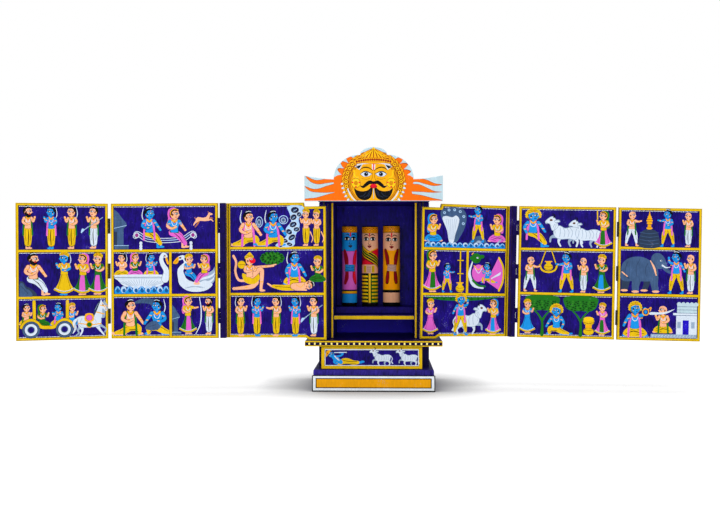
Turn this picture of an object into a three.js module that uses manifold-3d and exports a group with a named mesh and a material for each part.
// A painted wooden folding story shrine: a small open-fronted cabinet on a plinth,
// with three turned figures on a shelf, a drawer, a painted crest board, and two
// wings of three hinged leaves each.
//
// Millimetres, +Z up, +X to the right, -Y towards the viewer. The floor is z = 0, the
// cabinet's front is y = 0, and its middle is x = 0. The wings stand open.
import * as THREE from 'three';
import { mergeVertices } from 'three/addons/utils/BufferGeometryUtils.js';
import Module from 'manifold-3d';

const wasm = await Module();
wasm.setup();

// ---------------------------------------------------------------- driving sizes
const GAP = 0.3;                       // room left between pieces that touch

const BASE = { half: 75.4, front: -42, back: 96, height: 26.8 };
const BASE_PANEL = { half: 76.8, height: 20.2, thick: 4 };

const BOX = { half: 70.9, back: 98, wall: 6, skin: 2.4, height: 28.7 };
const LEDGE = { half: 86, front: -43, thick: 6.8 };

const DRAWER = { middle: -2.4, half: 63.5, thick: 5, out: 37, tray: 86, wall: 3, play: 0.8 };

const OPENING = 52.3;                  // half width of the niche
const CHEEK = 7.8;                     // thickness of the inner side boards
const SIDE_INNER = OPENING + CHEEK + GAP;
const ROOF = { under: 238, thick: 5.4, front: -40.2 };
const BACK_THICK = 5;
const SHELF = { rise: 23.6, thick: 5.4, front: 1 };
const STEP = { height: 8.5, front: 42 };

const LEAF = { thick: 4.5, bottom: 66.8, top: 236.2, notch: 231.4, foot: 63.9 };
const BATTEN = { proud: 8.2, wide: 7.4 };
const LEAF_GAP = 2.2;                  // between the edges of two hinged leaves
const KNUCKLE_OUT = 1.0;               // how far a hinge's axis stands off the painted face
const EDGE_PAST_PIN = 3;               // a door's edge, past the pins that it turns on
const PIN = { radius: 1.0, room: 0.4, deep: 5 };

const HINGE = { tall: 19, knuckle: 1.4, pin: 0.7, bore: 1.0, plate: 0.5, off: 0.3, lug: 5.8 };
const HINGE_PLACES = [1 / 6, 1 / 2, 5 / 6];

// Each wing: the pins' place, how far the wing droops, and for each leaf its width and
// how far it is folded at rest (degrees, towards the viewer).
const WINGS = {
  left: {
    side: -1, pinX: 62.3, pinY: -37.35, droop: 0.3, notchWide: 25, footWide: 19,
    inner: { wide: 133, fold: -2.5 }, middle: { wide: 134.6, fold: 3 }, outer: { wide: 109.8, fold: 17.8 },
  },
  right: {
    side: 1, pinX: 62.3, pinY: -17.45, droop: 1.15, notchWide: 23, footWide: 18,
    inner: { wide: 126.5, fold: -16.4 }, middle: { wide: 122.8, fold: 21.5 }, outer: { wide: 105.2, fold: -4.5 },
  },
};

const CREST = { half: 86.2, bottom: 237.5, thick: 4.5, corner: 269.3, dip: 265, dome: 50, shoulder: 295.4, cap: 17, peak: 304.8 };
const DOLLS = [
  { name: 'doll_blue', x: -34, radius: 10.2, tall: 108.5 },
  { name: 'doll_middle', x: -6.2, radius: 10.9, tall: 108 },
  { name: 'doll_yellow', x: 23, radius: 11.6, tall: 109 },
];
const DOLL_Y = 66;

const BOX_BOTTOM = BASE.height + GAP;
const BOX_TOP = BOX_BOTTOM + BOX.height;
const LEDGE_BOTTOM = BOX_TOP + GAP;
const LEDGE_TOP = LEDGE_BOTTOM + LEDGE.thick;
const CARCASS_BOTTOM = LEDGE_TOP + GAP;
const CARCASS_TOP = ROOF.under - GAP;

// ---------------------------------------------------------------- materials
const paint = (colour, roughness = 0.45) => new THREE.MeshStandardMaterial({ color: colour, roughness, metalness: 0 });
const BLUE = paint('#1a1272');
const YELLOW = paint('#e3b21f');
const PALE = paint('#cfdde3');
const SKY = paint('#2a9fe0');
const PEACH = paint('#efb38e');
const ROBE = paint('#dcc12a');
const METAL = new THREE.MeshStandardMaterial({ color: '#232052', roughness: 0.4, metalness: 0.6 });

// ---------------------------------------------------------------- helpers
const radians = THREE.MathUtils.degToRad;
const shrine = new THREE.Group();

/** A box from its lowest to its highest corner. */
function block(x0, x1, y0, y1, z0, z1) {
  return new THREE.BoxGeometry(x1 - x0, y1 - y0, z1 - z0).translate((x0 + x1) / 2, (y0 + y1) / 2, (z0 + z1) / 2);
}

/** A round bar along Z, from z0 to z1. */
function bar(radius, x, y, z0, z1, sides = 10) {
  return new THREE.CylinderGeometry(radius, radius, z1 - z0, sides)
    .rotateX(Math.PI / 2).translate(x, y, (z0 + z1) / 2);
}

/** An outline in X and Z, given thickness along Y from `front` to `front + thick`. */
function board(points, front, thick) {
  const shape = new THREE.Shape(points.map(([x, z]) => new THREE.Vector2(x, z)));
  return new THREE.ExtrudeGeometry(shape, { depth: thick, bevelEnabled: false })
    .rotateX(Math.PI / 2).translate(0, front + thick, 0);
}

function solid(geometry) {
  const bare = geometry.clone();
  for (const name of ['normal', 'uv']) bare.deleteAttribute(name);
  const merged = mergeVertices(bare, 1e-4);
  return new wasm.Manifold(new wasm.Mesh({
    numProp: 3,
    vertProperties: Float32Array.from(merged.attributes.position.array),
    triVerts: Uint32Array.from(merged.index.array),
  }));
}

function geometryOf(body) {
  const mesh = body.getMesh();
  const geometry = new THREE.BufferGeometry();
  geometry.setAttribute('position', new THREE.BufferAttribute(Float32Array.from(mesh.vertProperties), 3));
  geometry.setIndex(Array.from(mesh.triVerts));
  return geometry.toNonIndexed();
}

const cut = (geometry, ...tools) => geometryOf(tools.reduce((body, tool) => body.subtract(solid(tool)), solid(geometry)));
const join = (geometry, ...more) => geometryOf(more.reduce((body, part) => body.add(solid(part)), solid(geometry)));

function place(group, name, geometry, material) {
  const mesh = new THREE.Mesh(geometry, material);
  mesh.name = name;
  group.add(mesh);
  return mesh;
}

// ---------------------------------------------------------------- plinth, box, ledge
place(shrine, 'base', block(-BASE.half, BASE.half, BASE.front, BASE.back, 0, BASE.height), BLUE);
place(shrine, 'base_panel', block(-BASE_PANEL.half, BASE_PANEL.half,
  BASE.front - GAP - BASE_PANEL.thick, BASE.front - GAP, 0, BASE_PANEL.height), YELLOW);

const trayHalf = DRAWER.half - 7;
const cavity = block(DRAWER.middle - trayHalf - DRAWER.play, DRAWER.middle + trayHalf + DRAWER.play,
  -1, BOX.back - BOX.wall, BOX_BOTTOM + BOX.skin, BOX_TOP - BOX.skin);
place(shrine, 'lower_box', cut(block(-BOX.half, BOX.half, 0, BOX.back, BOX_BOTTOM, BOX_TOP), cavity), BLUE);

const pinHole = (wing, z0, z1) => bar(PIN.radius + PIN.room, wing.side * wing.pinX, wing.pinY, z0, z1);
const wings = Object.values(WINGS);
place(shrine, 'ledge', cut(block(-LEDGE.half, LEDGE.half, LEDGE.front, BOX.back, LEDGE_BOTTOM, LEDGE_TOP),
  ...wings.map((wing) => pinHole(wing, LEDGE_TOP - PIN.deep, LEDGE_TOP + 1))), BLUE);

// ---------------------------------------------------------------- drawer, pulled out
const drawerFront = -DRAWER.out;
const frontBottom = BASE.height + 0.5;
const frontTop = LEDGE_BOTTOM - 0.8;
const trayBottom = BOX_BOTTOM + BOX.skin + 0.5;
const trayTop = BOX_TOP - BOX.skin - 1.2;
const trayBack = drawerFront + DRAWER.thick + DRAWER.tray;
place(shrine, 'drawer', cut(
  join(
    block(DRAWER.middle - DRAWER.half, DRAWER.middle + DRAWER.half, drawerFront, drawerFront + DRAWER.thick, frontBottom, frontTop),
    block(DRAWER.middle - trayHalf, DRAWER.middle + trayHalf, drawerFront + DRAWER.thick - 1, trayBack, trayBottom, trayTop),
  ),
  block(DRAWER.middle - trayHalf + DRAWER.wall, DRAWER.middle + trayHalf - DRAWER.wall,
    drawerFront + DRAWER.thick, trayBack - DRAWER.wall, trayBottom + DRAWER.wall, trayTop + 1),
), YELLOW);

// ---------------------------------------------------------------- cabinet
for (const [name, side] of [['left', -1], ['right', 1]]) {
  const across = (inner, outer) => [Math.min(side * inner, side * outer), Math.max(side * inner, side * outer)];
  place(shrine, `side_${name}`, block(...across(SIDE_INNER, BOX.half), 0, BOX.back, CARCASS_BOTTOM, CARCASS_TOP), BLUE);
  place(shrine, `cheek_${name}`, block(...across(OPENING, OPENING + CHEEK), 0, BOX.back - BACK_THICK - GAP,
    CARCASS_BOTTOM, CARCASS_TOP), BLUE);
}
place(shrine, 'back', block(-SIDE_INNER + GAP, SIDE_INNER - GAP, BOX.back - BACK_THICK, BOX.back, CARCASS_BOTTOM, CARCASS_TOP), BLUE);
place(shrine, 'roof', cut(block(-BOX.half, BOX.half, ROOF.front, BOX.back, ROOF.under, ROOF.under + ROOF.thick),
  ...wings.map((wing) => pinHole(wing, ROOF.under - 1, ROOF.under + PIN.deep - 1))), BLUE);

const shelfBottom = CARCASS_BOTTOM + SHELF.rise;
const shelfTop = shelfBottom + SHELF.thick;
const inside = OPENING - GAP;
const insideBack = BOX.back - BACK_THICK - GAP;
place(shrine, 'shelf', block(-inside, inside, SHELF.front, insideBack, shelfBottom, shelfTop), YELLOW);
place(shrine, 'step', block(-inside, inside, STEP.front, insideBack, shelfTop + GAP, shelfTop + GAP + STEP.height), BLUE);

// ---------------------------------------------------------------- crest board
function crestOutline() {
  const side = [];
  for (let i = 0; i <= 6; i += 1) {      // the flames' top edge dips towards the dome
    const t = i / 6;
    side.push([CREST.half + (CREST.dome - CREST.half) * t,
      CREST.corner + (CREST.dip - CREST.corner) * Math.sin(t * Math.PI / 2)]);
  }
  for (let i = 1; i <= 8; i += 1) {      // the dome: a quarter of an ellipse
    const a = (i / 8) * Math.PI / 2;
    const reach = CREST.dome - CREST.cap;
    side.push([CREST.cap + reach * Math.cos(a), CREST.dip + (CREST.shoulder - CREST.dip) * Math.sin(a)]);
  }
  for (let i = 1; i <= 4; i += 1) {      // the cap: a shallow rounded rise
    const a = (i / 4) * Math.PI / 2;
    side.push([CREST.cap * Math.cos(a), CREST.shoulder + (CREST.peak - CREST.shoulder) * Math.sin(a)]);
  }
  const mirrored = side.slice(0, -1).reverse().map(([x, z]) => [-x, z]);
  return [[CREST.half, CREST.bottom], ...side, ...mirrored, [-CREST.half, CREST.bottom]];
}
place(shrine, 'crest', board(crestOutline(), ROOF.front - GAP - CREST.thick, CREST.thick), PALE);

// ---------------------------------------------------------------- turned dolls
function dollProfile(radius, tall) {
  const profile = [[0, 0], [0.9, 0], [0.96, 0.02], [0.96, 0.3], [1, 0.31], [1, 0.74], [0.95, 0.76], [0.95, 0.78],
    [1, 0.8], [1, 0.9], [0.96, 0.91], [1, 0.93], [1, 0.98], [0.93, 1], [0, 1]];
  return profile.map(([r, h]) => new THREE.Vector2(r * radius, h * tall));
}
DOLLS.forEach(({ name, x, radius, tall }, i) => {
  const geometry = new THREE.LatheGeometry(dollProfile(radius, tall), 20).rotateX(Math.PI / 2)
    .translate(x, DOLL_Y, shelfTop + STEP.height + 2 * GAP);
  place(shrine, name, geometry, [SKY, PEACH, ROBE][i]);
});

// ---------------------------------------------------------------- wings
const MID = (LEAF.bottom + LEAF.top) / 2;
const halfTall = (LEAF.top - LEAF.bottom) / 2;
const FACE = -LEAF.thick / 2;            // a leaf's painted face, in its own frame

/** A plate screwed on the painted face beside the axis, or one let in between two boards' edges. */
const facePlate = (wide) => ({ u: [0, wide], y: [KNUCKLE_OUT - HINGE.off - HINGE.plate, KNUCKLE_OUT - HINGE.off] });
const edgePlate = { u: [HINGE.off, HINGE.off + HINGE.plate], y: [0, KNUCKLE_OUT + LEAF.thick - 1] };

/** One half of a butt hinge. Its axis is the Z axis; `side` is where its plate lies. */
function hingeHalf(side, plate, ends) {
  const h = HINGE.tall / 2;
  const [u0, u1] = plate.u.map((u) => side * u).sort((a, b) => a - b);
  const leaf = block(u0, u1, plate.y[0], plate.y[1], -h, h);
  const spans = ends ? [[-h, -h + HINGE.lug], [h - HINGE.lug, h]] : [[-h + HINGE.lug + GAP, h - HINGE.lug - GAP]];
  const room = ends ? [[-h + HINGE.lug, h - HINGE.lug]] : [[-h - 1, -h + HINGE.lug + GAP], [h - HINGE.lug - GAP, h + 1]];
  const clear = HINGE.knuckle + GAP;
  const notched = cut(leaf, ...room.map(([z0, z1]) => block(-clear, clear, -clear, clear, z0, z1)));
  const barrel = spans.map(([z0, z1]) => bar(HINGE.knuckle, 0, 0, z0, z1));
  if (ends) return join(notched, ...barrel, bar(HINGE.pin, 0, 0, -h + 1, h - 1));
  return cut(join(notched, ...barrel), bar(HINGE.bore, 0, 0, -h - 1, h + 1));
}

/** Three hinges on a line: one half rides with the leaf before, the other with the leaf after. */
function hangHinges(before, after, name, side, plateBefore, plateAfter) {
  HINGE_PLACES.forEach((share, i) => {
    const z = -halfTall + share * 2 * halfTall;
    place(before, `${name}_hinge_${i + 1}_a`, hingeHalf(-side, plateBefore, true), METAL).position.z = z;
    place(after, `${name}_hinge_${i + 1}_b`, hingeHalf(side, plateAfter, false), METAL).position.z = z;
  });
}

/** A group turned about Z: folds towards the viewer are positive on both sides. */
function turned(parent, side, x, y, fold) {
  const group = new THREE.Group();
  group.position.set(x, y, 0);
  group.rotation.z = -side * radians(fold);
  parent.add(group);
  return group;
}

/** The door leaf's outline: notched above and footed below beside the cabinet. */
function doorOutline(wing) {
  const near = -EDGE_PAST_PIN;
  const far = wing.inner.wide - EDGE_PAST_PIN;
  const slant = 4;
  return [
    [near, LEAF.foot - MID], [wing.footWide, LEAF.foot - MID], [wing.footWide + slant, LEAF.bottom - MID],
    [far, LEAF.bottom - MID], [far, LEAF.top - MID],
    [wing.notchWide, LEAF.top - MID], [wing.notchWide - 1, LEAF.notch - MID], [near, LEAF.notch - MID],
  ].map(([x, z]) => [wing.side * x, z]);
}

for (const [name, wing] of Object.entries(WINGS)) {
  const { side } = wing;
  const span = (u0, u1) => [Math.min(side * u0, side * u1), Math.max(side * u0, side * u1)];
  const stand = new THREE.Group();
  stand.position.set(side * wing.pinX, wing.pinY, MID);
  shrine.add(stand);

  // the pins stand upright in the ledge and the roof
  const footZ = LEAF.foot - MID;
  const notchZ = LEAF.notch - MID;
  place(stand, `${name}_pin_low`, bar(PIN.radius, 0, 0, LEDGE_TOP - MID - PIN.deep + GAP, footZ + PIN.deep - GAP), METAL);
  place(stand, `${name}_pin_high`, bar(PIN.radius, 0, 0, notchZ - PIN.deep + GAP, ROOF.under - MID + PIN.deep - 1 - GAP), METAL);

  const door = turned(stand, side, 0, 0, wing.inner.fold);
  const hung = new THREE.Group();
  hung.rotation.y = side * radians(wing.droop);
  door.add(hung);

  const lean = Math.tan(radians(wing.droop));
  const leafHole = (z0, z1) => bar(PIN.radius + PIN.room, -side * lean * (z0 + z1) / 2, 0, z0, z1);
  place(hung, `${name}_inner_leaf`, cut(board(doorOutline(wing), FACE, LEAF.thick),
    leafHole(footZ - 1, footZ + PIN.deep), leafHole(notchZ - PIN.deep, notchZ + 1)), YELLOW);
  const farEdge = wing.inner.wide - EDGE_PAST_PIN;
  place(hung, `${name}_batten`, block(...span(farEdge - BATTEN.wide, farEdge),
    FACE - BATTEN.proud, FACE - GAP, -halfTall, halfTall), BLUE);

  const middleAxis = { u: farEdge + LEAF_GAP / 2, y: FACE - BATTEN.proud - KNUCKLE_OUT };
  const middle = turned(hung, side, side * middleAxis.u, middleAxis.y, wing.middle.fold);
  const leafBody = (wide) => block(...span(LEAF_GAP / 2, LEAF_GAP / 2 + wide),
    KNUCKLE_OUT, KNUCKLE_OUT + LEAF.thick, -halfTall, halfTall);
  place(middle, `${name}_middle_leaf`, leafBody(wing.middle.wide), YELLOW);
  const atMiddle = new THREE.Group();
  atMiddle.position.set(side * middleAxis.u, middleAxis.y, 0);
  hung.add(atMiddle);
  hangHinges(atMiddle, middle, `${name}_middle`, side, facePlate(7), edgePlate);

  const outerU = LEAF_GAP + wing.middle.wide + LEAF_GAP / 2;
  const outer = turned(middle, side, side * outerU, 0, wing.outer.fold);
  place(outer, `${name}_outer_leaf`, leafBody(wing.outer.wide), YELLOW);
  const atOuter = new THREE.Group();
  atOuter.position.set(side * outerU, 0, 0);
  middle.add(atOuter);
  hangHinges(atOuter, outer, `${name}_outer`, side, edgePlate, edgePlate);
}

export default shrine;
